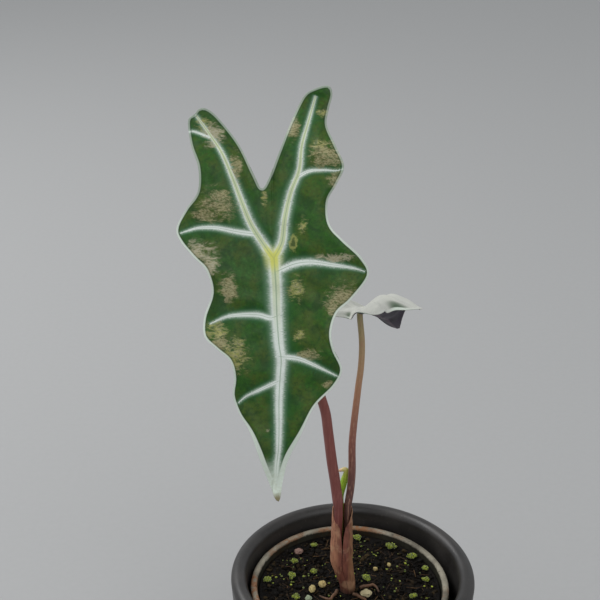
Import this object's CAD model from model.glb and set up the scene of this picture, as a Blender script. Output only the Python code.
import math
import random

import bpy
import numpy as np
from mathutils import Matrix, Vector, noise


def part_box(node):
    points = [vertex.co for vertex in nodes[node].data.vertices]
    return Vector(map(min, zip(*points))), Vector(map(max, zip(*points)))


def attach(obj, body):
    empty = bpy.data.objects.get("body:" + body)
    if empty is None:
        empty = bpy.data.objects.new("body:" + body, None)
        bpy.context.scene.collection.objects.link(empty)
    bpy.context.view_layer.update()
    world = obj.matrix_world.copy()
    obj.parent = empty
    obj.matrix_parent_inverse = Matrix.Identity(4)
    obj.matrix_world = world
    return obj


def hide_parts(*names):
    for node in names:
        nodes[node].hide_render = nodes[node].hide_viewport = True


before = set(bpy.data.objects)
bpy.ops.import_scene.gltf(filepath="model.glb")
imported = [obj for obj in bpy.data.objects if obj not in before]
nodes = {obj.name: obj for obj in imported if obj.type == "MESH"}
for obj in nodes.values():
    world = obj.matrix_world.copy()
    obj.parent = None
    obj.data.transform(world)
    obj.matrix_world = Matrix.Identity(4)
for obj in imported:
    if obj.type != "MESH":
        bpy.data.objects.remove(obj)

mm = 0.001
ops = bpy.ops
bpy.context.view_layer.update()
random.seed(7)
ops.object.select_all(action="DESELECT")


def srgb(code):
    parts = [int(code[i:i + 2], 16) / 255 for i in (1, 3, 5)]
    return tuple(c / 12.92 if c < 0.04 else ((c + 0.055) / 1.055) ** 2.4 for c in parts) + (1.0,)


def socketOf(source):  # a node stands for its first output
    return source if hasattr(source, "is_output") else source.outputs[0]


def addNode(mat, kind, settings=None, links=None):  # a key is a setting's name, an input's name or its number
    node = mat.node_tree.nodes.new("ShaderNode" + kind)
    for key, value in (settings or {}).items():
        if isinstance(key, str) and hasattr(node, key):
            setattr(node, key, value)
        else:
            node.inputs[key].default_value = srgb(value) if isinstance(value, str) else value
    for key, source in (links or {}).items():
        mat.node_tree.links.new(socketOf(source), node.inputs[key])
    return node


def newMaterial(name):
    mat = bpy.data.materials.new(name)
    mat.use_nodes = True
    mat.node_tree.nodes.clear()
    return mat


def layTone(mat, under, over, mask):  # over covers under where the mask is 1; a tone is a hex code or a node
    settings, links = {"data_type": "RGBA"}, {}
    for key, value in ((0, mask), (6, under), (7, over)):
        if isinstance(value, (str, float, tuple)):
            settings[key] = value
        else:
            links[key] = value
    return addNode(mat, "Mix", settings, links).outputs[2]


def rampMask(mat, value, low, high, top=1.0):  # 0 up to low and top from high on; low may be above high
    start, end = (top, 0.0) if low > high else (0.0, top)
    settings = {"interpolation_type": "SMOOTHSTEP", 1: min(low, high), 2: max(low, high), 3: start, 4: end}
    return addNode(mat, "MapRange", settings, {0: value})


def bothMasks(mat, first, second):  # only where both masks are 1
    return addNode(mat, "Math", {"operation": "MULTIPLY"}, {0: first, 1: second})


def shiftedBy(mat, value, times, source, plus=0.0):  # a value moved by another, to make its edge ragged
    moved = addNode(mat, "Math", {"operation": "MULTIPLY_ADD", 1: times, 2: plus}, {0: source})
    return moved if value is None else addNode(mat, "Math", {"operation": "ADD"}, {0: moved, 1: value})


def storedOn(mat, name):  # the three numbers that a piece stores on its points under this name
    stored = addNode(mat, "Attribute", {"attribute_name": name})
    return addNode(mat, "SeparateXYZ", {}, {0: stored.outputs["Vector"]}).outputs


def finishMaterial(mat, colour, height, depth, **looks):  # the depth of its bumps is in mm
    names = {"ior": "IOR", "roughness": "Roughness", "specular": "Specular IOR Level",
             "sheen": "Sheen Weight"}
    settings = {names[key]: value for key, value in looks.items() if isinstance(value, float)}
    links = {names[key]: value for key, value in looks.items() if not isinstance(value, float)}
    bump = addNode(mat, "Bump", {"Distance": depth * mm, "Strength": 1.0}, {"Height": height})
    surface = addNode(mat, "BsdfPrincipled", settings, {"Base Color": colour, "Normal": bump, **links})
    addNode(mat, "OutputMaterial", {}, {"Surface": surface})
    return mat


def smooth(value, low, high):
    share = np.clip((value - low) / (high - low), 0.0, 1.0)
    return share * share * (3.0 - 2.0 * share)


def curveThrough(points, count, closed=False):  # evenly spaced on a smooth curve through the points
    pts = np.array(points, float)
    total = len(pts)
    dense = []
    for span in range(total if closed else total - 1):
        if closed:
            p0, p1, p2, p3 = (pts[(span + k) % total] for k in (-1, 0, 1, 2))
        else:
            p0, p1, p2, p3 = (pts[min(max(span + k, 0), total - 1)] for k in (-1, 0, 1, 2))
        for t in np.arange(12) / 12.0:
            dense.append(0.5 * (2 * p1 + (p2 - p0) * t + (2 * p0 - 5 * p1 + 4 * p2 - p3) * t * t
                                + (3 * p1 - p0 - 3 * p2 + p3) * t ** 3))
    dense = np.array(dense + [pts[0] if closed else pts[-1]])
    lengths = np.concatenate([[0.0], np.cumsum(np.linalg.norm(np.diff(dense, axis=0), axis=1))])
    wanted = np.linspace(0.0, lengths[-1], count, endpoint=not closed)
    return np.stack([np.interp(wanted, lengths, dense[:, k]) for k in range(dense.shape[1])], axis=1)


def editAll(select="SELECT"):
    ops.object.mode_set(mode="EDIT")
    ops.mesh.select_all(action=select)


def turnOutwards():
    ops.mesh.select_all(action="SELECT")
    ops.mesh.normals_make_consistent(inside=False)
    ops.object.mode_set(mode="OBJECT")


def gridPiece(name, columns, rows, place, merge=0.01 * mm):  # place turns shares across and up into points
    ops.mesh.primitive_grid_add(x_subdivisions=columns, y_subdivisions=rows, size=1.0)
    piece = bpy.context.object
    piece.name = piece.data.name = name
    count = len(piece.data.vertices)
    flat = np.empty(count * 3)
    piece.data.vertices.foreach_get("co", flat)
    flat = flat.reshape(-1, 3) + 0.5
    piece.data.vertices.foreach_set("co", place(flat[:, 0], flat[:, 1]).ravel())
    editAll()
    ops.mesh.remove_doubles(threshold=merge)
    turnOutwards()
    ops.object.shade_smooth()
    return piece


def coords(piece):
    flat = np.empty(len(piece.data.vertices) * 3)
    piece.data.vertices.foreach_get("co", flat)
    return flat.reshape(-1, 3)


def setCoords(piece, places):
    piece.data.vertices.foreach_set("co", places.ravel())
    piece.data.update()


def setAttribute(piece, name, values):
    kind = "FLOAT_VECTOR" if values.ndim == 2 else "FLOAT"
    layer = piece.data.attributes.new(name, kind, "POINT")
    layer.data.foreach_set("vector" if kind == "FLOAT_VECTOR" else "value", values.astype(np.float32).ravel())


def applyModifiers(piece):
    bpy.context.view_layer.objects.active = piece
    for modifier in list(piece.modifiers):
        ops.object.modifier_apply(modifier=modifier.name)


def tubePiece(name, points, radii, sides, rings, lumps):  # a round stem with rounded, closed ends
    path = curveThrough(points, rings)
    radius = np.interp(np.linspace(0, 1, rings), np.linspace(0, 1, len(radii)), radii)
    ahead = np.gradient(path, axis=0)
    ahead /= np.linalg.norm(ahead, axis=1)[:, None]
    side = np.cross(ahead, np.array([0.0, 1.0, 0.03]))
    side /= np.linalg.norm(side, axis=1)[:, None]
    front = np.cross(ahead, side)

    def place(u, v):
        ring = np.rint(v * (rings - 1)).astype(int)
        turn = 2 * np.pi * u
        nearEnd = np.clip(np.abs(v - 0.5) * 2 - 1 + 3.0 / rings, 0, None) * rings / 3.0
        reach = radius[ring] * np.sqrt(np.clip(1 - nearEnd ** 2, 0, 1))
        reach = reach * (1 + lumps * np.sin(3 * turn + 9 * v) * np.sin(41 * v + 2 * turn))
        across = side[ring] * (reach * np.cos(turn))[:, None]
        return path[ring] + across + front[ring] * (reach * np.sin(turn))[:, None]

    piece = gridPiece(name, sides, rings - 1, place)
    gaps = np.linalg.norm(coords(piece)[:, None, :] - path[None, ::3, :], axis=2)
    setAttribute(piece, "alongStem", gaps.argmin(axis=1) * 3.0 / (rings - 1))
    return piece


def spunPiece(name, outline, steps, centreX=0.0):  # radii and heights turned about an upright axis
    mesh = bpy.data.meshes.new(name)
    mesh.from_pydata([(x, 0.0, z) for x, z in outline], [(i, i + 1) for i in range(len(outline) - 1)], [])
    piece = bpy.data.objects.new(name, mesh)
    bpy.context.collection.objects.link(piece)
    ops.object.select_all(action="DESELECT")
    piece.select_set(True)
    bpy.context.view_layer.objects.active = piece
    editAll()
    ops.mesh.spin(steps=steps, angle=2 * math.pi, center=(0, 0, 0), axis=(0, 0, 1))
    ops.mesh.select_all(action="SELECT")
    ops.mesh.remove_doubles(threshold=0.01 * mm)
    ops.transform.translate(value=(centreX, 0, 0))
    turnOutwards()
    ops.object.shade_smooth_by_angle(angle=math.radians(40))
    return piece


def addPiece(piece, node):
    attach(piece, "root")
    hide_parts(node)


def arc(x, z, radius, start, end, count):
    turns = [math.radians(start + (end - start) * i / count) for i in range(count + 1)]
    return [(x + radius * math.cos(t), z + radius * math.sin(t)) for t in turns]


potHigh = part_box("cover_pot")[1]
growLow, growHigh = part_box("grow_pot")
soilLow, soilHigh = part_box("potting_soil")
sheathLow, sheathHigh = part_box("stem_sheath")
potX = (growLow[0] + growHigh[0]) / 2
soilLevel = growHigh[2] - 4.5 * mm
soilRadius = (soilHigh[0] - soilLow[0]) / 2
stemX = -2.0 * mm
sheathTop = sheathHigh[2]
sheathFoot = sheathLow[2]


def soilHeight(x, y):
    fade = 1.0 - np.minimum(1.0, np.hypot(x - potX, y) / soilRadius) ** 4
    wave = 2.0 * math.pi / (38 * mm)
    swell = np.sin(wave * (x + 0.3 * y)) + np.cos(wave * (y - 0.4 * x))
    climb = 1.4 * mm * smooth(np.hypot(x - potX, y), soilRadius - 4.5 * mm, soilRadius)
    return soilLevel + fade * 0.8 * mm * (0.9 + 0.5 * swell) + climb  # it climbs a little up the pot's wall


sheathShape = {"lean": 3.1, "leanFrom": 1.0, "leanTo": 19.0, "foot": 3.5, "waist": 5.1, "mouth": 4.9,
               "waistHeight": 20.6, "slitHeight": 17.5, "wall": 0.4, "stemGap": 0.45, "flaps": 7.0,
               "tear": 0.5, "ripple": 0.12, "snug": 0.45}  # mm, heights above the soil


def sheathCentre(z):
    rise = smooth(z, soilLevel + sheathShape["leanFrom"] * mm, soilLevel + sheathShape["leanTo"] * mm)
    return stemX - sheathShape["lean"] * mm * rise


def sheathRadius(z):
    foot, waist, mouth = sheathShape["foot"], sheathShape["waist"], sheathShape["mouth"]
    widest = soilLevel + sheathShape["waistHeight"] * mm
    below = foot + (waist - foot) * smooth(z, soilLevel, widest)
    return mm * np.where(z < widest, below, waist + (mouth - waist) * smooth(z, widest, sheathTop))


def roomInSheath(z):
    return sheathRadius(z) - sheathShape["stemGap"] * mm


def seatPoints(side, back):  # where a stem stands in the sheath, as shares of its inner radius
    points = []
    for z in np.linspace(sheathFoot + 0.3 * mm, sheathTop, 7):
        inner = roomInSheath(z)
        points.append((sheathCentre(z) + side * inner, back * inner, z))
    return points


def stemRadii(points, seat, radius, topRadius):
    z = points[:, 2]
    inside = seat * roomInSheath(z)
    free = radius + (topRadius - radius) * smooth(z, sheathTop, z[-1])
    return np.where(z <= sheathTop + 1 * mm, np.minimum(inside, free), free)


def alongVein(field, points):  # distance from a vein, signed by side, length along it and its whole length
    line = curveThrough(points, max(8, len(points) * 6))
    steps = np.diff(line, axis=0)
    lengths = np.linalg.norm(steps, axis=1)
    arcs = np.concatenate([[0.0], np.cumsum(lengths)])
    best = np.full(len(field), 1e9)
    signed = np.zeros(len(field))
    along = np.zeros(len(field))
    for i in range(len(steps)):
        offset = field - line[i]
        share = offset @ steps[i] / lengths[i] ** 2
        share = np.clip(share, 0.0, 1e3 if i == len(steps) - 1 else 1.0)
        gap = offset - share[:, None] * steps[i]
        distance = np.linalg.norm(gap, axis=1)
        cross = steps[i][0] * offset[:, 1] - steps[i][1] * offset[:, 0]
        near = distance < best
        best[near] = distance[near]
        signed[near] = (np.sign(cross) * distance)[near]
        along[near] = (arcs[i] + share * lengths[i])[near]
    return signed, along, arcs[-1]


def bladePiece(name, leaf, top, underside):  # a fan from the junction that stores vein and edge distances
    spokes, rings = leaf["grid"]
    rim = curveThrough(leaf["outline"], spokes, closed=True)
    rim = np.vstack([rim, rim[:1]])

    def place(u, v):
        spoke = np.rint(u * spokes).astype(int)
        reach = 1.0 - (1.0 - v) ** 1.15
        flat = rim[spoke] * reach[:, None]
        return np.column_stack([flat, reach]) * mm  # the height holds the reach until the blade is bent

    blade = gridPiece(name, spokes, rings, place)
    flat, reach = np.split(coords(blade) / mm, [2], axis=1)
    reach = reach[:, 0]
    fine = curveThrough(leaf["outline"], 1600, closed=True)
    edge = np.min([np.hypot(flat[:, 0] - x, flat[:, 1] - y) for x, y in fine[::2]], axis=0)
    edge = np.where(reach > 0.9995, 0.0, edge)
    across, along = flat.T
    ratios = []
    nearest = np.full(len(flat), 1e9)
    field = np.zeros((len(flat), 3))
    glow = np.full(len(flat), 1e9)
    for number, (points, widths) in enumerate(leaf["veins"]):
        signed, arcs, total = alongVein(flat, points)
        half = np.interp(arcs / total, np.linspace(0, 1, len(widths)), widths)
        half = np.where((arcs > total) | (arcs < -0.5), 0.02, half)
        ratios.append(np.clip(signed / half, -40, 40))
        beyond = np.abs(signed) - half + np.clip(arcs - total, 0, None) * 2
        glow = np.minimum(glow, beyond / (0.35 + 0.5 * half))
        near = beyond < nearest
        nearest[near] = beyond[near]
        field[near] = np.column_stack([beyond, arcs, np.full(len(flat), number * 3.7)])[near]
    while len(ratios) % 3:
        ratios.append(np.full(len(flat), 40.0))
    for group in range(0, len(ratios), 3):
        setAttribute(blade, "veins" + str(group // 3), np.column_stack(ratios[group:group + 3]))
    setAttribute(blade, "veinField", field)
    setAttribute(blade, "edgeField", np.column_stack([edge, np.clip(glow, -5, 60), reach]))
    setAttribute(blade, "leafPlane", np.column_stack([across, along, reach]))
    damage = np.zeros((len(flat), 3))
    for kind, x, y, wide, tall in leaf["damage"]:
        spot = ((across - x) / wide) ** 2 + ((along - y) / tall) ** 2
        damage[:, kind] = np.maximum(damage[:, kind], 1.0 - smooth(np.sqrt(spot), 0.1, 1.55))
    setAttribute(blade, "damage", damage)
    # veins lie in shallow furrows and the blade swells between them
    furrow = np.exp(-np.clip(nearest, 0, None) / 1.3)
    swell = (0.75 * smooth(nearest, 0.3, 6.0) - 0.4 * furrow) * smooth(edge, 0.0, 3.0)
    crinkle = np.array([noise.noise((x * 0.16, y * 0.16, leaf["seed"])) for x, y in flat])
    height = leaf["relief"](across, along, reach) + swell + 0.8 * crinkle * smooth(edge, 0.0, 6.0)
    acrossAxis, lobesAxis = Vector(leaf["across"]), Vector(leaf["lobes"])
    face = acrossAxis.cross(lobesAxis).normalized()
    spots = np.outer(across, acrossAxis) + np.outer(along, lobesAxis) + np.outer(height, face)
    setCoords(blade, (spots + np.array(leaf["junction"])) * mm)
    normal = blade.data.polygons[len(blade.data.polygons) // 2].normal
    if normal.dot(face) < 0:
        editAll()
        ops.mesh.flip_normals()
        ops.object.mode_set(mode="OBJECT")
    group = blade.vertex_groups.new(name="rib")
    rib = np.clip(furrow * smooth(edge, 0.0, 2.0), 0.0, 1.0)
    for level in range(11):
        picked = np.nonzero(np.rint(rib * 10) == level)[0]
        group.add([int(i) for i in picked], level / 10.0, "REPLACE")
    blade.data.materials.append(top)
    blade.data.materials.append(underside)
    shell = blade.modifiers.new("shell", "SOLIDIFY")
    shell.thickness = leaf["thickness"] * mm
    shell.offset = -1.0
    shell.vertex_group = "rib"
    shell.thickness_vertex_group = 0.45
    shell.material_offset = 1
    shell.material_offset_rim = 0
    applyModifiers(blade)
    ops.object.shade_smooth()
    return blade


def veinDistance(mat, groups):  # half-widths from the nearest vein, and from the first three alone
    nearest, firstThree = None, None
    for number in range(groups):
        source = addNode(mat, "Attribute", {"attribute_name": "veins" + str(number)}).outputs["Vector"]
        size = addNode(mat, "VectorMath", {"operation": "ABSOLUTE"}, {0: source})
        for part in addNode(mat, "SeparateXYZ", {}, {0: size}).outputs:
            nearest = part if nearest is None else addNode(
                mat, "Math", {"operation": "MINIMUM"}, {0: nearest, 1: part})
        firstThree = firstThree or nearest
    return nearest, firstThree


# waxy dark leaf skin, cut by pale veins with a thin groove in each, with a pale line at its edge and dry
# patches, so that the eye reads living tissue that has aged unevenly
def leafMaterial(name, veinGroups, tones, gloss, bloom=None):
    mat = newMaterial(name)
    plane = addNode(mat, "Attribute", {"attribute_name": "leafPlane"}).outputs["Vector"]
    fromVein, alongArc, veinNumber = storedOn(mat, "veinField")
    fromEdge, glow, _ = storedOn(mat, "edgeField")
    hurt = storedOn(mat, "damage")
    height = storedOn(mat, "leafPlane")[1]  # distance up the leaf from its junction, mm
    nearest, mainVeins = veinDistance(mat, veinGroups)
    # soft uneven greens
    broad = addNode(mat, "TexNoise", {"Scale": 0.09, "Detail": 4.0, "Roughness": 0.6}, {"Vector": plane})
    mottle = addNode(mat, "TexNoise", {"Scale": 0.75, "Detail": 5.0, "Roughness": 0.65}, {"Vector": plane})
    pores = addNode(mat, "TexNoise", {"Scale": 3.4, "Detail": 3.0}, {"Vector": plane})
    colour = layTone(mat, tones["green"], tones["olive"], rampMask(mat, broad, 0.42, 0.6))
    colour = layTone(mat, colour, tones["deep"], rampMask(mat, mottle, 0.46, 0.7, 0.6))
    colour = layTone(mat, colour, tones["fresh"], rampMask(mat, mottle, 0.46, 0.3, 0.5))
    shade = addNode(mat, "TexNoise", {"Scale": 0.14, "Detail": 3.0, "Distortion": 0.8}, {"Vector": plane})
    colour = layTone(mat, colour, tones["deep"], rampMask(mat, shade, 0.5, 0.66, 0.6))
    colour = layTone(mat, colour, tones["halo"], rampMask(mat, pores, 0.66, 0.8, 0.22))
    # side streaks that run off each vein
    stretched = addNode(mat, "CombineXYZ", {}, {0: alongArc, 1: fromVein, 2: veinNumber})
    arcs = addNode(mat, "Mapping", {"Scale": (1.9, 0.32, 1.0)}, {0: stretched})
    fringe = addNode(mat, "TexNoise", {"Scale": 1.0, "Detail": 3.0, "Roughness": 0.6}, {"Vector": arcs})
    shifted = shiftedBy(mat, glow, -3.6, fringe, 1.8)
    colour = layTone(mat, colour, tones["bluish"], rampMask(mat, glow, 4.5, 0.4, 0.65))
    colour = layTone(mat, colour, tones["halo"], rampMask(mat, glow, 2.6, -0.4, 0.55))
    colour = layTone(mat, colour, tones["vein"], rampMask(mat, shifted, 1.3, -0.8, 0.75))
    thin = addNode(mat, "TexNoise", {"Scale": 1.0, "Detail": 2.0, "Distortion": 0.4}, {"Vector": arcs})
    colour = layTone(mat, colour, tones["bluish"], bothMasks(
        mat, rampMask(mat, thin, 0.5, 0.72, 0.45), rampMask(mat, fromVein, 6.0, 1.0)))
    # dry patches, streaked and broken up
    slant = addNode(mat, "Mapping", {"Rotation": (0.0, 0.0, 0.9), "Scale": (0.55, 1.2, 1.0)}, {0: plane})
    ragged = addNode(mat, "TexNoise", {
        "Scale": 0.36, "Detail": 8.0, "Roughness": 0.78, "Distortion": 0.6}, {"Vector": slant})
    flecks = addNode(mat, "TexNoise", {
        "Scale": 1.5, "Detail": 5.0, "Roughness": 0.75, "Distortion": 0.3}, {"Vector": slant})
    for index, (tone, other, low, high) in enumerate((
            (tones["tan"], tones["brown"], 0.25, 1.15), (tones["pink"], tones["tan"], 0.2, 1.05),
            (tones["straw"], tones["tan"], 0.45, 1.35))):
        amount = shiftedBy(mat, hurt[index], 4.6, ragged, -2.3)
        patch = layTone(mat, other, tone, rampMask(mat, flecks, 0.38, 0.58))
        patch = layTone(mat, patch, tones["margin"], rampMask(mat, pores, 0.56, 0.74, 0.35))
        patch = layTone(mat, patch, tones["deep"], rampMask(mat, flecks, 0.46, 0.34, 0.75))
        colour = layTone(mat, colour, patch, bothMasks(
            mat, rampMask(mat, amount, low, high, 0.84), rampMask(mat, hurt[index], 0.04, 0.5)))
    # one healed spot: a straw ring round a dark middle
    oval = addNode(mat, "Mapping", {"Scale": (1.25, 0.62, 0.0)}, {0: plane})
    spot = addNode(mat, "VectorMath", {"operation": "DISTANCE", 1: tones["spot"]}, {0: oval}).outputs["Value"]
    spot = shiftedBy(mat, spot, 3.4, mottle)
    colour = layTone(mat, colour, tones["straw"], rampMask(mat, spot, 4.2, 3.1, 0.6))
    colour = layTone(mat, colour, tones["deep"], rampMask(mat, spot, 3.0, 2.3, 0.75))
    # pale veins
    ends = addNode(mat, "MapRange", {1: -60.0, 2: 4.0}, {0: height})
    veinTone = layTone(mat, tones["vein"], tones["cream"], rampMask(mat, ends, 0.35, 0.95, 0.9))
    flat = addNode(mat, "Mapping", {"Scale": (1.0, 1.0, 0.0)}, {0: plane})
    hub = addNode(mat, "VectorMath", {"operation": "LENGTH"}, {0: flat}).outputs["Value"]
    veinTone = layTone(mat, veinTone, tones["yellow"], rampMask(mat, hub, 7.5, 1.0, 0.85))
    veinTone = layTone(mat, veinTone, tones["halo"], rampMask(mat, pores, 0.5, 0.75, 0.45))
    close = rampMask(mat, fromVein, 0.9, 0.4)
    veinTone = layTone(mat, veinTone, tones["vein"], rampMask(mat, mainVeins, 0.5, 0.95))
    ragEdge = shiftedBy(mat, nearest, 1.5, fringe, -0.75)
    colour = layTone(mat, colour, veinTone, bothMasks(mat, rampMask(mat, ragEdge, 1.25, 0.6), close))
    colour = layTone(mat, colour, tones["groove"], bothMasks(
        mat, rampMask(mat, nearest, 0.2, 0.06, 0.6), close))
    colour = layTone(mat, colour, tones["yellow"], bothMasks(
        mat, rampMask(mat, hub, 6.5, 0.5, 0.6), rampMask(mat, glow, 2.2, 0.2)))
    # pale line round the edge, widest towards the tip, with a dark line inside it
    tip = tones["tipStart"]
    width = shiftedBy(mat, fromEdge, -1.2, rampMask(mat, height, tip, tones["tipEnd"]))
    colour = layTone(mat, colour, tones["deep"], bothMasks(
        mat, rampMask(mat, width, 0.65, 0.95), rampMask(mat, width, 1.5, 1.0, 0.5)))
    faded = shiftedBy(mat, None, -0.5, rampMask(mat, height, 8.0, 30.0), 1.0)
    colour = layTone(mat, colour, tones["margin"], bothMasks(mat, rampMask(mat, width, 0.95, 0.55), faded))
    ending = shiftedBy(mat, height, 6.0, ragged)
    pale = layTone(mat, tones["margin"], "#A9AE93", rampMask(mat, mottle, 0.4, 0.62, 0.3))
    colour = layTone(mat, colour, pale, rampMask(mat, ending, tip - 14.0, tip - 25.0, 0.95))
    colour = layTone(mat, colour, "#6E6238", rampMask(mat, ending, tip - 28.5, tip - 32.0, 0.9))
    rough = addNode(mat, "MapRange", {1: 0.3, 2: 0.7, 3: gloss, 4: gloss + 0.14}, {0: mottle})
    if bloom:  # wax bloom that turns pale where the blade is seen edge-on
        glance = addNode(mat, "LayerWeight", {"Blend": 0.5}).outputs["Facing"]
        colour = layTone(mat, colour, bloom, bothMasks(
            mat, rampMask(mat, glance, 0.18, 0.52, 0.94), rampMask(mat, height, -54.0, -46.0)))
    grain = shiftedBy(mat, pores, 0.6, fringe)
    return finishMaterial(mat, colour, grain, 0.05, roughness=rough, ior=1.4, specular=0.4)


def undersideMaterial(name, veinGroups, dark, pale, rib):  # matt skin with ribs of lighter tissue
    mat = newMaterial(name)
    plane = addNode(mat, "Attribute", {"attribute_name": "leafPlane"}).outputs["Vector"]
    nearest = veinDistance(mat, veinGroups)[0]
    cloud = addNode(mat, "TexNoise", {"Scale": 0.2, "Detail": 5.0, "Roughness": 0.65}, {"Vector": plane})
    colour = layTone(mat, dark, pale, rampMask(mat, cloud, 0.38, 0.68))
    colour = layTone(mat, colour, rib, bothMasks(
        mat, rampMask(mat, nearest, 1.2, 0.6, 0.85), rampMask(mat, storedOn(mat, "veinField")[0], 0.9, 0.4)))
    return finishMaterial(mat, colour, cloud, 0.06, roughness=0.55, ior=1.42)


frontLeaf = {
    "grid": (392, 104), "junction": (-34.7, -14.3, 259.1), "across": (1, 0, 0), "lobes": (0, 0.4242, 0.9056),
    "thickness": 0.8, "seed": 3.1,
    "outline": [
        (2.5, -95.8), (3.3, -93.0), (4.2, -87.5), (6.3, -79.5), (11.0, -69.5), (16.3, -58.2), (24.2, -49.8),
        (27.2, -43.1), (23.9, -35.2), (22.9, -28.6), (25.2, -21.3), (31.0, -15.8), (37.4, -6.8),
        (34.5, 0.0), (27.2, 7.0), (22.3, 13.0), (21.7, 22.0), (25.2, 28.7), (27.9, 35.5),
        (24.8, 43.4), (21.4, 52.0), (22.2, 58.4), (23.6, 64.2), (22.0, 67.4), (17.0, 66.5),
        (12.4, 63.6), (7.4, 53.6), (2.7, 41.1), (-0.8, 31.8), (-3.9, 26.8), (-7.0, 32.2),
        (-12.8, 44.2), (-20.2, 53.9), (-25.0, 58.1), (-28.4, 58.3), (-30.2, 56.2),
        (-32.8, 53.6), (-31.6, 44.2), (-28.4, 34.9), (-28.6, 25.5), (-33.2, 18.8), (-36.8, 11.6),
        (-35.4, 6.6), (-29.9, 0.0), (-25.2, -5.0), (-23.2, -13.4), (-26.2, -23.0), (-26.0, -30.4),
        (-21.3, -35.2), (-16.2, -39.8), (-14.6, -46.5), (-15.3, -53.6), (-12.9, -60.8),
        (-8.5, -68.4), (-4.2, -81.0), (-0.9, -89.9), (1.0, -94.6)],
    "veins": [  # the points of each and its half-widths along it
        ([(0.8, 0.4), (1.6, -11.6), (1.9, -21.7), (2.7, -33.0), (3.6, -39.4), (3.2, -46.0), (2.7, -55.1),
          (2.7, -66.4), (2.4, -75.3), (1.6, -83.0), (1.5, -94.0)], (2.2, 2.1, 1.8, 1.5, 1.2, 0.9, 0.6)),
        ([(0.6, 0.0), (-2.3, 3.9), (-7.8, 12.4), (-11.3, 20.6), (-15.1, 30.7), (-19.4, 40.7), (-23.3, 46.8),
          (-26.8, 51.8), (-29.9, 56.0)], (1.6, 1.35, 1.1, 0.85, 0.6, 0.35)),
        ([(0.8, 0.0), (3.9, 6.2), (5.0, 15.1), (7.2, 25.2), (10.5, 34.0), (11.6, 43.8), (14.0, 52.8),
          (17.1, 64.0)], (1.6, 1.35, 1.1, 0.85, 0.6, 0.35)),
        ([(-6.4, 9.2), (-13.4, 10.1), (-21.3, 11.6), (-27.9, 11.6), (-32.2, 10.5), (-35.7, 9.3)],
         (0.85, 0.75, 0.5, 0.12)),
        ([(9.8, 31.4), (14.4, 33.8), (20.2, 34.1), (25.0, 33.8), (27.9, 34.5)], (0.65, 0.5, 0.3, 0.1)),
        ([(2.6, -4.9), (8.9, -2.3), (15.5, -1.6), (23.3, -2.7), (31.0, -3.9), (36.1, -5.4)],
         (1.1, 0.95, 0.6, 0.12)),
        ([(1.9, -22.5), (-0.6, -23.3), (-5.4, -22.1), (-12.4, -22.1), (-17.9, -22.9), (-24.3, -25.8)],
         (0.9, 0.8, 0.5, 0.12)),
        ([(3.2, -38.3), (10.1, -39.0), (15.5, -41.1), (21.1, -43.8), (26.0, -46.2)], (0.9, 0.7, 0.4, 0.12)),
        ([(2.4, -48.0), (-4.5, -51.2), (-10.1, -53.9), (-13.6, -57.0)], (0.7, 0.45, 0.1)),
        ([(-24.6, 47.3), (-27.9, 48.6), (-30.8, 49.5), (-32.8, 49.1)], (0.4, 0.35, 0.25))],
    "damage": [  # 0 tan, 1 pink-beige, 2 straw; centre and half sizes, mm
        (0, -20.5, 20.6, 8.4, 7.2), (0, -26.0, 16.5, 5.0, 4.0), (1, -28.0, 2.0, 7.2, 5.0),
        (1, -24.0, -3.0, 5.0, 4.5), (0, -17.0, -11.6, 4.2, 6.6), (2, -22.0, -27.5, 6.5, 5.0),
        (2, -14.0, -38.0, 6.5, 9.0), (0, -20.0, -33.0, 4.0, 4.0), (1, -23.1, 48.4, 5.0, 5.6),
        (2, -27.0, 53.0, 4.0, 4.0), (0, -13.6, 35.5, 3.0, 8.5), (0, 21.6, 39.6, 8.0, 6.4),
        (0, 25.0, 30.4, 4.4, 3.4), (0, 8.7, 50.6, 3.0, 5.6), (2, 19.5, 57.0, 4.0, 2.2),
        (2, 18.8, 44.6, 4.0, 2.4), (1, 24.6, -0.2, 8.0, 2.2), (0, 27.5, -15.5, 8.0, 6.6),
        (0, 24.5, -19.5, 4.0, 3.6), (2, 9.3, -12.2, 4.0, 6.0), (2, 10.5, -30.2, 3.2, 3.0),
        (0, 14.5, -37.4, 5.6, 2.4), (1, -1.7, -67.5, 1.1, 1.1), (0, 21.6, -49.0, 2.2, 2.0),
        (2, 12.0, 12.5, 2.5, 4.0), (2, -3.0, 22.5, 1.5, 4.0)],
}


def frontRelief(across, along, reach):
    wave = 1.6 * reach ** 3 * np.sin(along / 5.6 + np.where(across > 0.0, 0.8, 2.2))
    return 0.10 * np.abs(across) - 9.0 * smooth(-along, 30, 100) - 6.0 * smooth(along, 12, 70) + wave


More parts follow.
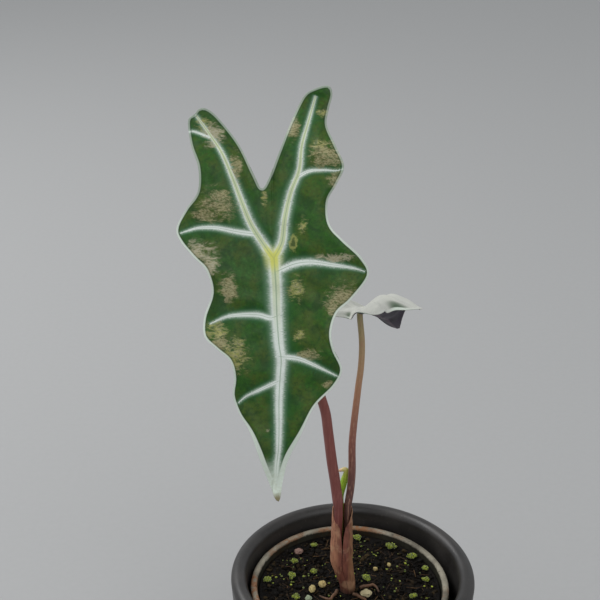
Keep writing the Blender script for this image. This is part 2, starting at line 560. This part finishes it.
backLeaf = {
    "grid": (256, 64), "junction": (2.0, 25.0, 219.4), "across": (-0.9439, 0.3013, -0.1346),
    "lobes": (-0.33, -0.8619, 0.3850), "thickness": 0.7, "seed": 8.4,
    "outline": [
        (0.0, -66.0), (2.6, -58.0), (6.0, -49.0), (10.5, -41.0), (17.0, -34.0), (20.0, -27.0),
        (18.0, -20.0), (19.0, -13.0), (23.5, -7.0), (26.5, 0.0), (23.0, 7.0), (17.6, 12.0),
        (16.4, 19.0), (18.0, 27.0), (17.6, 35.0), (15.6, 41.0), (12.4, 43.0), (9.0, 39.5),
        (5.4, 30.0), (2.4, 21.0), (0.0, 17.0), (-2.4, 21.0), (-5.4, 30.0), (-9.2, 40.0),
        (-12.6, 43.6), (-16.0, 41.5), (-18.0, 35.0), (-18.4, 27.0), (-16.8, 19.0), (-18.0, 12.0),
        (-23.6, 7.0), (-27.5, 0.0), (-24.0, -7.0), (-19.0, -13.0), (-18.0, -20.0), (-20.0, -27.0),
        (-17.0, -34.0), (-10.5, -41.0), (-6.0, -49.0), (-2.6, -58.0)],
    "veins": [
        ([(0.0, 0.0), (0.2, -12.0), (-0.3, -26.0), (0.2, -42.0), (0.0, -65.0)], (1.6, 1.4, 1.1, 0.7, 0.4)),
        ([(0.0, 0.0), (4.0, 8.0), (7.5, 18.0), (10.5, 30.0), (12.4, 42.0)], (1.1, 0.9, 0.6, 0.3)),
        ([(0.0, 0.0), (-4.0, 8.0), (-7.5, 18.0), (-10.5, 30.0), (-12.6, 42.0)], (1.1, 0.9, 0.6, 0.3)),
        ([(0.2, -2.0), (9.0, -0.4), (18.0, 0.0), (26.0, 0.0)], (0.8, 0.6, 0.3)),
        ([(-0.2, -2.0), (-9.0, -0.4), (-18.0, 0.0), (-27.0, 0.0)], (0.8, 0.6, 0.3)),
        ([(0.0, -16.0), (7.0, -17.5), (14.0, -21.0), (19.6, -26.5)], (0.7, 0.5, 0.3)),
        ([(0.0, -16.0), (-7.0, -17.5), (-14.0, -21.0), (-19.6, -26.5)], (0.7, 0.5, 0.3)),
        ([(5.6, 13.0), (9.5, 16.5), (16.4, 21.0)], (0.5, 0.4, 0.2)),
        ([(-5.6, 13.0), (-9.5, 16.5), (-16.6, 21.0)], (0.5, 0.4, 0.2))],
    "damage": [(0, 12.0, -30.0, 3.5, 3.0), (2, -14.0, 8.0, 3.0, 4.0), (2, -15.0, -52.0, 2.0, 6.0)],
}


def backRelief(across, along, reach):
    side = np.abs(across)
    arch = 5.0 * smooth(side, 2, 12) - np.where(across > 0.0, 1.5, 5.0) * smooth(side, 12, 28)
    ends = 5.5 * smooth(along, 2, 43) + 5.0 * smooth(-along, 4, 40) + 6.0 * smooth(-along, 38, 66)
    waist = (4.0 - 3.0 * smooth(across, -6, 6)) * np.exp(-((along - 15.0) / 7.0) ** 2)
    return arch - ends - reach ** 4 * (0.4 + waist)


frontLeaf["relief"] = frontRelief
backLeaf["relief"] = backRelief
tones = {
    "green": "#295614", "olive": "#425818", "bluish": "#235C34", "deep": "#183C10", "fresh": "#37701C",
    "halo": "#94B498",
    "vein": "#E6EDE6", "cream": "#CBD5A6", "yellow": "#E1E16E", "groove": "#7F9C7C", "margin": "#D2DCD0",
    "tan": "#ADA47C", "brown": "#7A7048", "pink": "#BDB59C", "straw": "#AAA860",
    "tipStart": -60.0, "tipEnd": -78.0,  # mm below the junction
    "spot": (10.3, 3.6, 0.0)}
bladeFront = bladePiece("bladeFront", frontLeaf, leafMaterial("waxyVeinedLeafTop", 4, tones, 0.36),
                        undersideMaterial("mattLeafUnderside", 4, "#2E3A26", "#4E5A3A", "#93A276"))
addPiece(bladeFront, "leaf_front")
backTones = dict(tones, green="#31513A", olive="#3E5638", tipStart=-80.0, tipEnd=-95.0)
backTop = leafMaterial("waxyVeinedLeafTopBloom", 3, backTones, 0.4, "#C6C6BE")
bladeBack = bladePiece("bladeBack", backLeaf, backTop,
                       undersideMaterial("purpleLeafUnderside", 3, "#1F1A26", "#33263A", "#5A4A55"))
addPiece(bladeBack, "leaf_back")
print("leaves done", len(bladeFront.data.polygons), len(bladeBack.data.polygons))


def underLeaf(leaf, depth):
    face = Vector(leaf["across"]).cross(Vector(leaf["lobes"])).normalized()
    return tuple((Vector(leaf["junction"]) - face * (leaf["thickness"] + 0.3 + depth)) * mm)


# smooth waxy skin whose colour changes along the stem, with fine lengthwise streaks and specks
def stemMaterial(name, stops, streak, gloss):
    mat = newMaterial(name)
    along = addNode(mat, "Attribute", {"attribute_name": "alongStem"}).outputs["Fac"]
    ramp = addNode(mat, "ValToRGB", {}, {0: along})
    tones = ramp.color_ramp.elements
    for element, (place, tone) in zip(list(tones), (stops[0], stops[-1])):
        element.position, element.color = place, srgb(tone)
    for place, tone in stops[1:-1]:
        tones.new(place).color = srgb(tone)
    where = addNode(mat, "TexCoord").outputs["Object"]
    long = addNode(mat, "Mapping", {"Scale": (1.0, 1.0, 0.06)}, {0: where})
    lines = addNode(mat, "TexNoise", {"Scale": 1500.0, "Detail": 4.0}, {"Vector": long})
    specks = addNode(mat, "TexNoise", {"Scale": 900.0, "Detail": 4.0, "Roughness": 0.7}, {"Vector": where})
    colour = layTone(mat, ramp.outputs[0], streak, rampMask(mat, lines, 0.48, 0.7, 0.55))
    colour = layTone(mat, colour, "#2A1A18", rampMask(mat, specks, 0.62, 0.74, 0.6))
    return finishMaterial(mat, colour, lines, 0.08, roughness=gloss, ior=1.45)


def leafStem(name, stem):
    route = seatPoints(*stem["seat"]) + [tuple(c * mm for c in point) for point in stem["route"]]
    route += [underLeaf(stem["leaf"], depth) for depth in stem["underLeaf"]]
    path = curveThrough(route, 60)
    radii = stemRadii(path, stem["seatShare"], stem["foot"] * mm, stem["top"] * mm)
    piece = tubePiece(name, path, radii, *stem["sidesAndRings"], 0.012)
    piece.data.materials.append(stemMaterial(stem["skin"], stem["tones"], stem["streak"], stem["gloss"]))
    return piece


frontStem = {  # sizes in mm; the seat is a share of the room in the sheath
    "leaf": frontLeaf, "seat": (-0.40, -0.26), "seatShare": 0.44,
    "foot": 2.35, "top": 1.7, "sidesAndRings": (24, 160),
    "route": [(-8.2, 0.9, 144.5), (-9.9, 1.8, 155.8), (-11.7, 3.0, 170.2), (-13.6, 3.6, 182.5),
              (-20.0, 1.4, 202.0), (-28.0, -4.0, 220.0), (-33.0, -8.0, 236.0), (-34.7, -9.3, 249.0)],
    "underLeaf": (5.0, 2.5, 0.5), "skin": "waxyRedStemSkin", "streak": "#8F5A50", "gloss": 0.4,
    "tones": [(0.0, "#5A2E2A"), (0.22, "#6E3834"), (0.45, "#7B433D"), (0.75, "#7A443A"), (1.0, "#80604A")],
}
petioleFront = leafStem("petioleFront", frontStem)
addPiece(petioleFront, "petiole_front")

backStem = {
    "leaf": backLeaf, "seat": (0.54, 0.10), "seatShare": 0.33,
    "foot": 1.7, "top": 1.3, "sidesAndRings": (20, 150),
    "route": [(-1.6, 2.4, 141.0), (-1.0, 4.0, 149.2), (-0.9, 7.5, 164.4), (1.3, 13.2, 185.2),
              (2.6, 16.5, 195.2), (2.9, 20.0, 205.0)],
    "underLeaf": (4.0, 1.8, 0.2), "skin": "waxyOliveStemSkin", "streak": "#A87E66", "gloss": 0.42,
    "tones": [(0.0, "#3A2822"), (0.30, "#4A302A"), (0.44, "#5E3A34"), (0.58, "#804E42"), (0.74, "#9E7256"),
              (0.9, "#A89068"), (1.0, "#A8A071")],
}
petioleBack = leafStem("petioleBack", backStem)
addPiece(petioleBack, "petiole_back")

spearRoute = seatPoints(-0.02, 0.66)
spearTop = spearRoute[-1]
for side, back, rise in (
        (-0.1, 1.8, 4.4), (0.9, 3.6, 9.4), (1.9, 3.8, 13.5), (1.2, 3.9, 15.3), (-1.9, 3.6, 14.5)):
    spearRoute.append((spearTop[0] + side * mm, spearTop[1] + back * mm, spearTop[2] + rise * mm))
spearPath = curveThrough(spearRoute, 40)
spearRadii = np.maximum(0.17 * roomInSheath(spearPath[:, 2]),
                        1.6 * mm * smooth(spearPath[:, 2], sheathTop - 4 * mm, sheathTop + 9 * mm))
spearRadii[-5:] *= (0.95, 0.85, 0.7, 0.5, 0.32)
spear = tubePiece("leafSpear", spearPath, spearRadii, 20, 110, 0.02)
spear.data.materials.append(stemMaterial("freshRolledLeaf", [
    (0.0, "#8A7A50"), (0.74, "#7FA02A"), (0.86, "#8FB82B"), (0.93, "#B5C04A"), (0.97, "#D8C090"),
    (1.0, "#E0B090")], "#B8CC50", 0.35))
addPiece(spear, "new_leaf_spear")


def sheathPlace(u, v):  # up the outside and down the inside, parted in front above the slit's foot
    out = v < 0.5
    height = np.where(out, v * 2, 2 - v * 2)
    z = sheathFoot + (sheathTop - sheathFoot) * height
    slitFoot = soilLevel + sheathShape["slitHeight"] * mm
    parted = np.clip((z - slitFoot) / (sheathTop - slitFoot), 0, 1)
    half = 0.02 + 0.55 * parted ** 3  # half the slit's angle
    turn = -np.pi / 2 + 0.02 + half + (2 * np.pi - 2 * half) * u
    corner = smooth(np.abs(u - 0.5), 0.22, 0.5)  # the flaps slant down towards the slit
    torn = sheathShape["tear"] * np.sin(17 * u) * np.sin(9 * u + 1) - sheathShape["flaps"] * corner
    torn *= mm * height ** 6
    ripple = sheathShape["ripple"] * np.sin(5 * turn + 40 * height) * smooth(height, 0.1, 0.5)
    snug = smooth(height, 0.45, 1.0)  # its mouth draws in round the stems, more so in front
    wall = np.where(out, 0.0, sheathShape["wall"])
    radius = sheathRadius(z) + (ripple - wall - sheathShape["snug"] * snug) * mm
    y = radius * np.sin(turn)
    y = np.where(y < 0.0, y * (1.0 - 0.14 * snug), y)
    return np.column_stack([sheathCentre(z) + radius * np.cos(turn), y, np.minimum(z + torn, sheathTop)])


sheath = gridPiece("stemSheath", 72, 121, sheathPlace, 0.002 * mm)
bpy.context.view_layer.objects.active = sheath
editAll("DESELECT")
ops.mesh.select_non_manifold()
ops.mesh.bridge_edge_loops()  # closes the slit's two edges
turnOutwards()
papery = newMaterial("dryPaperySheath")  # dry fibres, orange-pink at the left, dark where it has rotted
where = addNode(papery, "TexCoord").outputs["Object"]
split = addNode(papery, "SeparateXYZ", {}, {0: where})
fibres = addNode(papery, "TexNoise", {"Scale": 1100.0, "Detail": 5.0, "Roughness": 0.65}, {
    "Vector": addNode(papery, "Mapping", {"Scale": (1.0, 1.0, 0.08)}, {0: where})})
blots = addNode(papery, "TexNoise", {"Scale": 170.0, "Detail": 4.0}, {"Vector": where})
colour = layTone(papery, "#B07A5E", "#7E4A3C", rampMask(papery, split.outputs[0], -0.0085, -0.0055))
colour = layTone(papery, colour, "#8E6648", rampMask(papery, split.outputs[0], -0.003, -0.0005))
colour = layTone(papery, colour, "#54302A", rampMask(papery, fibres, 0.47, 0.66, 0.75))
colour = layTone(papery, colour, "#C29A78", rampMask(papery, blots, 0.55, 0.7, 0.5))
colour = layTone(papery, colour, "#2E1E1A", rampMask(papery, split.outputs[2], 0.094, 0.088, 0.8))
finishMaterial(papery, colour, fibres, 0.25, roughness=0.6, ior=1.45)
sheath.data.materials.append(papery)
addPiece(sheath, "stem_sheath")
print("stems done")


coverShape = {"wall": 7 * mm, "taper": 6.5 * mm, "floor": 7 * mm, "corner": 3 * mm, "footRound": 7 * mm}
wall, floor, corner, footRound = (coverShape[key] for key in ("wall", "floor", "corner", "footRound"))
rimZ, outer = potHigh[2], potHigh[0]
base = outer - coverShape["taper"]
profile = [(0, floor), (base - wall - corner, floor), (base - wall, floor + corner)]
profile += arc(outer - wall / 2, rimZ - wall / 2, wall / 2, 180, 0, 20)  # the full round rim
profile += arc(base - footRound, footRound, footRound, 0, -90, 10) + [(0, 0)]
coverPot = spunPiece("coverPot", profile, 144)
glaze = newMaterial("charcoalSatinGlaze")  # dark glaze that pools unevenly, with pin holes and dust
where = addNode(glaze, "TexCoord").outputs["Object"]
pool = addNode(glaze, "TexNoise", {"Scale": 60.0, "Detail": 5.0}, {"Vector": where})
pins = addNode(glaze, "TexNoise", {"Scale": 900.0, "Detail": 4.0, "Roughness": 0.7}, {"Vector": where})
colour = layTone(glaze, "#252322", "#322F2D", rampMask(glaze, pool, 0.38, 0.64))
colour = layTone(glaze, colour, "#6A645E", rampMask(glaze, pins, 0.6, 0.74, 0.5))
rough = addNode(glaze, "MapRange", {1: 0.3, 2: 0.7, 3: 0.34, 4: 0.5}, {0: pool})
finishMaterial(glaze, colour, pins, 0.05, roughness=rough, ior=1.52)
coverPot.data.materials.append(glaze)
addPiece(coverPot, "cover_pot")

growShape = {"foot": 32.0, "wall": 1.0, "floor": 1.5, "holes": 6, "holeRadius": 3.2, "holesAt": 21.0,
             "firstHole": 13.0,  # mm and degrees; the lip's points are from the rim's outer top corner
             "lip": [(-3.0, -1.2), (-2.7, -0.4), (-2.1, 0.0), (-0.7, 0.0), (-0.15, -0.4), (0.0, -1.0),
                     (-0.1, -5.0), (-1.0, -5.0), (-1.1, -1.2), (-2.0, -1.4)]}
growTop, growFoot, rim = growHigh[2], growLow[2], (growHigh[0] - growLow[0]) / 2
foot, floorZ = growShape["foot"] * mm, growFoot + growShape["floor"] * mm
profile = [(0, floorZ), (foot, floorZ)]
profile += [(rim + x * mm, growTop + z * mm) for x, z in growShape["lip"]]
profile += [(foot + growShape["wall"] * mm, growFoot), (0, growFoot)]
growPot = spunPiece("growPot", profile, 128, potX)
for number in range(growShape["holes"]):
    turn = math.radians(growShape["firstHole"] + 360 / growShape["holes"] * number)
    reach = growShape["holesAt"] * mm
    ops.mesh.primitive_cylinder_add(radius=growShape["holeRadius"] * mm, depth=6 * mm, vertices=24, location=(
        potX + reach * math.cos(turn), reach * math.sin(turn), growFoot))
    punch = bpy.context.object
    hole = growPot.modifiers.new("hole", "BOOLEAN")
    hole.object = punch
    applyModifiers(growPot)
    bpy.data.objects.remove(punch)
plastic = newMaterial("stainedGreyPlastic")  # moulded polypropylene with rust and lime stains
where = addNode(plastic, "TexCoord").outputs["Object"]
stain = addNode(plastic, "TexNoise", {"Scale": 55.0, "Detail": 6.0, "Roughness": 0.62}, {"Vector": where})
speck = addNode(plastic, "TexNoise", {"Scale": 420.0, "Detail": 5.0, "Roughness": 0.7}, {"Vector": where})
colour = layTone(plastic, "#6A6459", "#9C9686", rampMask(plastic, stain, 0.36, 0.6))
rust = addNode(plastic, "TexNoise", {"Scale": 38.0, "Detail": 5.0}, {"Vector": where})
colour = layTone(plastic, colour, "#8A5A36", bothMasks(
    plastic, rampMask(plastic, rust, 0.46, 0.56, 0.85), rampMask(plastic, speck, 0.35, 0.6)))
colour = layTone(plastic, colour, "#24201C", rampMask(plastic, speck, 0.58, 0.7, 0.7))
height = addNode(plastic, "SeparateXYZ", {}, {0: where})
grime = shiftedBy(plastic, height.outputs[2], 0.002, speck, -0.001)
colour = layTone(plastic, colour, layTone(plastic, "#0A0906", "#1A1C10", stain), rampMask(
    plastic, grime, float(growTop - 0.5 * mm), float(growTop - 1.3 * mm), 0.94))
finishMaterial(plastic, colour, speck, 0.1, roughness=0.62, specular=0.15, ior=1.49)
growPot.data.materials.append(plastic)
addPiece(growPot, "grow_pot")
print("pots done")


soilShape = {"top": 0.9, "side": 0.95, "foot": 0.8, "grain": 160.0, "rough": 0.9 * mm, "sunk": 0.2 * mm}


def soilPlace(u, v):  # the top, then the side, then the underside, as shares of v
    turn, low = 2 * np.pi * u, soilLow[2]
    top, side, grain = soilShape["top"], soilShape["side"], soilShape["grain"]
    radius = soilRadius * np.where(v < top, v / top, 1.0)
    radius = np.where(v > side, soilRadius * soilShape["foot"] * (1 - v) / (1 - side), radius)
    x, y = potX + radius * np.cos(turn), radius * np.sin(turn)
    rough = np.array([noise.fractal((a * grain, b * grain, 1.0), 0.8, 2.1, 5) for a, b in zip(x, y)])
    rough *= soilShape["rough"] * smooth(soilRadius - radius, 0, 3 * mm)
    wall = low + (soilLevel - low) * (side - v) / (side - top)
    z = soilHeight(x, y) + rough - soilShape["sunk"]
    return np.column_stack([x, y, np.where(v > top, np.where(v > side, low, wall), z)])


soilBed = gridPiece("soilBed", 200, 140, soilPlace)
ground = newMaterial("dampPeat")  # near-black wet peat with lighter crumbs in it
where = addNode(ground, "TexCoord").outputs["Object"]
crumb = addNode(ground, "TexNoise", {"Scale": 520.0, "Detail": 6.0, "Roughness": 0.72}, {"Vector": where})
damp = addNode(ground, "TexNoise", {"Scale": 90.0, "Detail": 3.0}, {"Vector": where})
colour = layTone(ground, "#060403", "#17110B", rampMask(ground, crumb, 0.42, 0.68))
colour = layTone(ground, colour, "#2E2C14", rampMask(ground, crumb, 0.62, 0.74, 0.6))
rough = addNode(ground, "MapRange", {1: 0.35, 2: 0.65, 3: 0.55, 4: 0.95}, {0: damp})
finishMaterial(ground, colour, crumb, 0.6, roughness=rough, ior=1.33, specular=0.25)
soilBed.data.materials.append(ground)
addPiece(soilBed, "potting_soil")


def scatter(name, shapes, picks, material):  # many tinted copies of a few shapes as one mesh
    verts, faces, tints = [], [], []
    for shape, place, size, turn, tint in picks:
        basis = Matrix.Rotation(turn[1], 3, "Z") @ Matrix.Rotation(turn[0], 3, "X") @ Matrix.Diagonal(size)
        first = len(verts)
        for v in shapes[shape].vertices:
            verts.append(Vector(place) + basis @ v.co)
            tints.append(tint)
        faces += [[first + i for i in p.vertices] for p in shapes[shape].polygons]
    mesh = bpy.data.meshes.new(name)
    mesh.from_pydata(verts, [], faces)
    piece = bpy.data.objects.new(name, mesh)
    bpy.context.collection.objects.link(piece)
    setAttribute(piece, "tint", np.array(tints))
    mesh.materials.append(material)
    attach(piece, "root")
    return piece


def lumpShape(name, detail, push, seed):
    ops.mesh.primitive_ico_sphere_add(subdivisions=detail, radius=1.0)
    lump = bpy.context.object
    for v in lump.data.vertices:
        v.co *= 1.0 + push * noise.noise(v.co * 1.3 + Vector((seed, seed * 2.0, 0)))
    mesh = lump.data.copy()
    bpy.data.objects.remove(lump)
    return mesh


# dusty skin of small loose things, each of its own tint
def tintMaterial(name, tonesLow, tonesHigh, gloss, scale, depth, fuzz=0.0):
    mat = newMaterial(name)
    tint = addNode(mat, "Attribute", {"attribute_name": "tint"}).outputs["Fac"]
    where = addNode(mat, "TexCoord").outputs["Object"]
    grit = addNode(mat, "TexNoise", {"Scale": scale, "Detail": 4.0, "Roughness": 0.65}, {"Vector": where})
    low, high = layTone(mat, *tonesLow, grit), layTone(mat, *tonesHigh, grit)
    colour = layTone(mat, low, high, tint)
    return finishMaterial(mat, colour, grit, depth, roughness=gloss, sheen=fuzz, ior=1.36, specular=0.3)


def middleOf(node):  # a CAD piece's centre and half sizes
    low, high = (Vector(corner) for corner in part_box(node))
    return (low + high) / 2, (high - low) / 2


def spotOnSoil(power, spread):  # a random place; a lower power sends more of them outwards
    turn, share = random.random() * 2 * math.pi, random.random() ** power * spread
    return potX + soilRadius * share * math.cos(turn), soilRadius * share * math.sin(turn)


crumbLook = {"count": 3600, "spread": 0.965, "stemGap": 4.2 * mm, "sizes": (0.35, 0.45, 0.6, 0.8, 1.15)}  # mm
crumbShapes = [lumpShape("crumb" + str(i), 1, 0.9, 1.7 * i) for i in range(4)]
tufts = [middleOf("moss_tuft_" + str(i)) for i in range(1, 16)]
covered = [(centre.x, centre.y, 0.84 * half.x) for centre, half in tufts]  # no crumb stands up through a tuft
picks = []
for number in range(crumbLook["count"]):
    x, y = spotOnSoil(0.5, crumbLook["spread"])
    underTuft = any(math.hypot(x - a, y - b) < reach for a, b, reach in covered)
    if underTuft or math.hypot(x - stemX, y) < crumbLook["stemGap"]:
        continue
    size = random.choice(crumbLook["sizes"]) * mm * random.uniform(0.7, 1.2)
    z = float(soilHeight(x, y)) + size * random.uniform(-0.35, 0.5)
    shape = random.randrange(4)
    sides = (size, size * random.uniform(0.5, 1.1), size * random.uniform(0.4, 0.9))
    turns = (random.uniform(-1, 1), random.uniform(0, 6))
    picks.append((shape, (x, y, z), sides, turns, random.random() ** 5))
crumbs = scatter("soilCrumbs", crumbShapes, picks, tintMaterial(
    "darkPeatCrumbs", ("#050403", "#110D09"), ("#241C10", "#46381F"), 0.85, 900.0, 0.3))

ops.mesh.primitive_cylinder_add(vertices=5, radius=1.0, depth=2.0)
fibreShape = bpy.context.object.data.copy()
bpy.data.objects.remove(bpy.context.object)
fibreLook = {"count": 260, "spread": 0.9, "stemGap": 6.5 * mm, "thick": (0.07, 0.2), "long": (0.8, 2.6)}  # mm
picks = []
for number in range(fibreLook["count"]):
    x, y = spotOnSoil(0.5, fibreLook["spread"])
    if math.hypot(x - stemX, y) < fibreLook["stemGap"]:
        continue
    thick, long = (random.uniform(*fibreLook[key]) * mm for key in ("thick", "long"))
    lying = (math.pi / 2 + random.uniform(-0.25, 0.25), random.uniform(0, 6))
    place = (x, y, float(soilHeight(x, y)) + 0.5 * mm)
    picks.append((0, place, (thick, thick, long), lying, random.random() ** 2))
fibres = scatter("peatFibres", [fibreShape], picks, tintMaterial(
    "brownPeatFibres", ("#1E140C", "#33241A"), ("#4A3420", "#7A5E3C"), 0.7, 900.0, 0.1))

grainTones = [("#6E564C", "#9A7C72"), ("#94804E", "#CFBB84"), ("#8A7A4A", "#CDBB86"), ("#76826A", "#AEB89A"),
              ("#A2946C", "#DCCFAA")]  # pinkish, straw, straw, greenish, cream
for number in range(1, 10):
    centre, half = middleOf("perlite_grain_" + str(number))
    ops.mesh.primitive_ico_sphere_add(subdivisions=4, radius=1.0)
    grain = bpy.context.object
    grain.name = grain.data.name = "perliteGrain" + str(number)
    for v in grain.data.vertices:  # broken flat facets with fine pits
        facets = noise.voronoi(v.co * 1.4 + Vector((number * 3.0, 0, 0)))[0][0]
        fine = noise.fractal(v.co * 3.0 + Vector((0, number * 5.0, 0)), 0.8, 2.0, 4)
        v.co *= 0.72 + 0.48 * facets + 0.1 * fine
        v.co = v.co * half + centre - Vector((0, 0, 0.35 * mm))
    ops.object.shade_smooth()
    tone = grainTones[number % 5]
    grain.data.materials.append(tintMaterial("chalkyPerlite" + str(number), tone, tone, 0.8, 1100.0, 0.15))
    setAttribute(grain, "tint", np.zeros(len(grain.data.vertices)))
    addPiece(grain, "perlite_grain_" + str(number))

mossLook = {"blobs": 150, "sizes": (0.18, 0.46), "sunk": 0.5 * mm}  # mm
tuftShape = lumpShape("tuft", 1, 0.5, 4.0)
mossTones = (("#3C4A0A", "#5C6A12"), ("#8A981E", "#B0B83A"))
mossSkin = tintMaterial("softGreenMoss", *mossTones, 0.85, 1400.0, 0.25, 0.4)
for number in range(1, 16):
    centre, half = middleOf("moss_tuft_" + str(number))
    centre.z -= mossLook["sunk"]
    picks = [(0, centre, (half.x * 0.6, half.y * 0.6, half.z * 0.7), (0.0, 1.0), 0.25)]  # its dense middle
    for blob in range(mossLook["blobs"]):
        turn, share = random.random() * 2 * math.pi, math.sqrt(random.random())
        across, back = math.cos(turn), math.sin(turn)
        share *= 0.82 + 0.55 * noise.noise((across * 1.2, back * 1.2, number * 2.3))  # a ragged outline
        dome = math.sqrt(max(0.0, 1 - share ** 2 * 0.9))
        size = random.uniform(*mossLook["sizes"]) * mm
        height = half.z * dome * random.uniform(0.1, 0.72)
        place = centre + Vector((half.x * share * 0.95 * across, half.y * share * 0.95 * back, height))
        picks.append((0, place, (size, size, size * random.uniform(0.8, 1.7)),
                      (random.uniform(-0.6, 0.6), random.uniform(0, 6)), random.random() ** 2))
    tuft = scatter("mossTuft" + str(number), [tuftShape], picks, mossSkin)
    tuft.data.polygons.foreach_set("use_smooth", [True] * len(tuft.data.polygons))
    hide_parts("moss_tuft_" + str(number))

speckLook = {"count": 260, "spread": 0.95, "stemGap": 6 * mm, "sizes": (0.25, 0.75)}  # mm
picks = []
for number in range(speckLook["count"]):
    x, y = spotOnSoil(0.45, speckLook["spread"])
    if math.hypot(x - stemX, y) < speckLook["stemGap"] or noise.noise((x * 90, y * 90, 5.0)) < -0.05:
        continue  # they grow in patches
    size = random.uniform(*speckLook["sizes"]) * mm
    place = (x, y, float(soilHeight(x, y)) + 0.45 * mm)
    picks.append((0, place, (size, size, size * 0.55),
                  (random.uniform(-0.5, 0.5), random.uniform(0, 6)), random.random() ** 1.5))
specks = scatter("mossSpecks", [tuftShape], picks, mossSkin)

rootLook = {"degrees": (-16.0, -70.0, 205.0), "start": 5.5, "long": 9.0, "thick": 0.8, "above": 0.7}  # mm
for number, degrees in enumerate(rootLook["degrees"], 1):
    points, radii = [], []
    for share in np.linspace(0, 1, 7):
        reach = (rootLook["start"] + rootLook["long"] * share) * mm
        turn = math.radians(degrees) + 0.35 * math.sin(3.0 * share) + 0.05 * math.sin(11 * share)
        x, y = stemX + reach * math.cos(turn), reach * math.sin(turn)
        radii.append(rootLook["thick"] * mm * (1 - 0.5 * share))
        points.append((x, y, float(soilHeight(x, y)) + rootLook["above"] * mm + radii[-1]))
    root = tubePiece("surfaceRoot" + str(number), points, radii, 14, 60, 0.08)
    root.data.materials.append(stemMaterial("dryRootSkin" + str(number), [
        (0.0, "#4E3626"), (0.5, "#6A4A34"), (1.0, "#3A281C")], "#7E6046", 0.7))
    addPiece(root, "surface_root_" + str(number))

husk = newMaterial("brownCormHusk")  # fibrous brown skin, hidden in the soil
where = addNode(husk, "TexCoord").outputs["Object"]
threads = addNode(husk, "TexNoise", {"Scale": 900.0, "Detail": 5.0}, {
    "Vector": addNode(husk, "Mapping", {"Scale": (1.0, 1.0, 0.1)}, {0: where})})
finishMaterial(husk, layTone(husk, "#4A3020", "#8A6040", threads), threads, 0.3, roughness=0.75)
nodes["corm"].data.materials.clear()
nodes["corm"].data.materials.append(husk)
print("soil done")


ops.mesh.primitive_plane_add(size=60.0)
floor = bpy.context.object
floor.name = "floor"
paper = newMaterial("paleBackdropPaper")
where = addNode(paper, "TexCoord").outputs["Object"]
tooth = addNode(paper, "TexNoise", {"Scale": 260.0, "Detail": 3.0}, {"Vector": where})
finishMaterial(paper, layTone(paper, "#A6A6A6", "#AAAAAA", tooth), tooth, 0.02, roughness=0.85)
floor.data.materials.append(paper)

world = bpy.data.worlds.new("studio")
bpy.context.scene.world = world
world.use_nodes = True
world.node_tree.nodes["Background"].inputs[0].default_value = (0.95, 0.98, 1.0, 1.0)
world.node_tree.nodes["Background"].inputs[1].default_value = 0.62
lights = (("keyLight", (-0.9, 0.5, 1.3), 0.9, 13.0), ("fillLight", (0.5, -1.2, 1.1), 1.2, 5.0))
for name, place, size, power in lights:
    ops.object.light_add(type="AREA", location=place)
    lamp = bpy.context.object
    lamp.name = name
    lamp.data.size = size
    lamp.data.energy = power
    aim = Vector((0, 0, 0.16)) - Vector(place)
    lamp.rotation_euler = aim.to_track_quat("-Z", "Y").to_euler()

ops.object.camera_add(location=(-0.0238, -0.4605, 0.4501), rotation=(math.radians(64.9), 0, 0))
camera = bpy.context.object
camera.data.lens = 50
camera.data.sensor_width = 24
bpy.context.scene.camera = camera
bpy.context.scene.view_settings.view_transform = "Standard"
